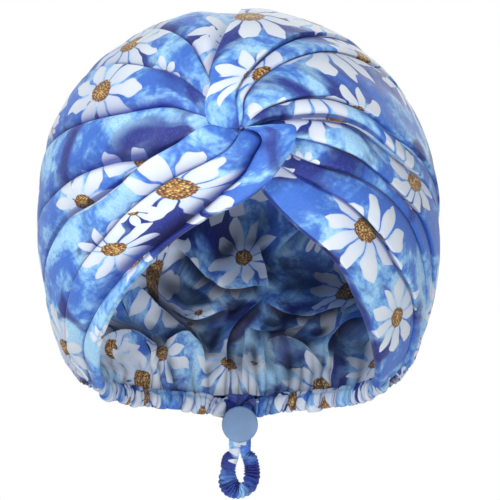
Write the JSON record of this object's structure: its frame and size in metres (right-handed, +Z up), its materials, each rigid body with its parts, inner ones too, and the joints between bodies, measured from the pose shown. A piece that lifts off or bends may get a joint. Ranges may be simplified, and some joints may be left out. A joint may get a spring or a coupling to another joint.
{
  "type": "hair bonnet",
  "caption": "Satin turban-style hair bonnet with a twisted front, a full lining, a gathered elastic nape hem and a sprung lock on its adjusting loop.",
  "frame": {"origin": "middle of the head opening, level with the front corners of the hem", "axes": "+Z up to the crown, -Y towards the face, +X to the right of a viewer who looks at the twist"},
  "size_m": [0.2283, 0.242, 0.2856],
  "materials": {
    "satin": "blue satin with a scattered white flower print",
    "lining": "the same printed satin, seen from inside",
    "elastic": "white covered elastic cord",
    "lock": "matte blue moulding",
    "spring": "bright wire"
  },
  "bodies": {
    "bonnet": {"right_wrap": "satin", "left_wrap": "satin", "lining": "lining", "nape_casing_left": "satin", "nape_casing_right": "satin", "loop_sleeve": "satin", "elastic": "elastic"},
    "cord_lock": {"lock_barrel": "lock", "lock_spring": "spring"},
    "lock_button": {"lock_button": "lock"}
  },
  "joints": [
    {"name": "lock_slide", "type": "slide", "parent": "bonnet", "child": "cord_lock", "axis": [0, -0.1392, -0.9903], "range_m": [0, 0.005]},
    {"name": "button_press", "type": "slide", "parent": "cord_lock", "child": "lock_button", "axis": [0, 0.9903, -0.1392], "range_m": [0, 0.0022], "stiffness_N_per_m": 600, "springref_m": -0.002, "deforming": ["lock_spring"]}
  ]
}
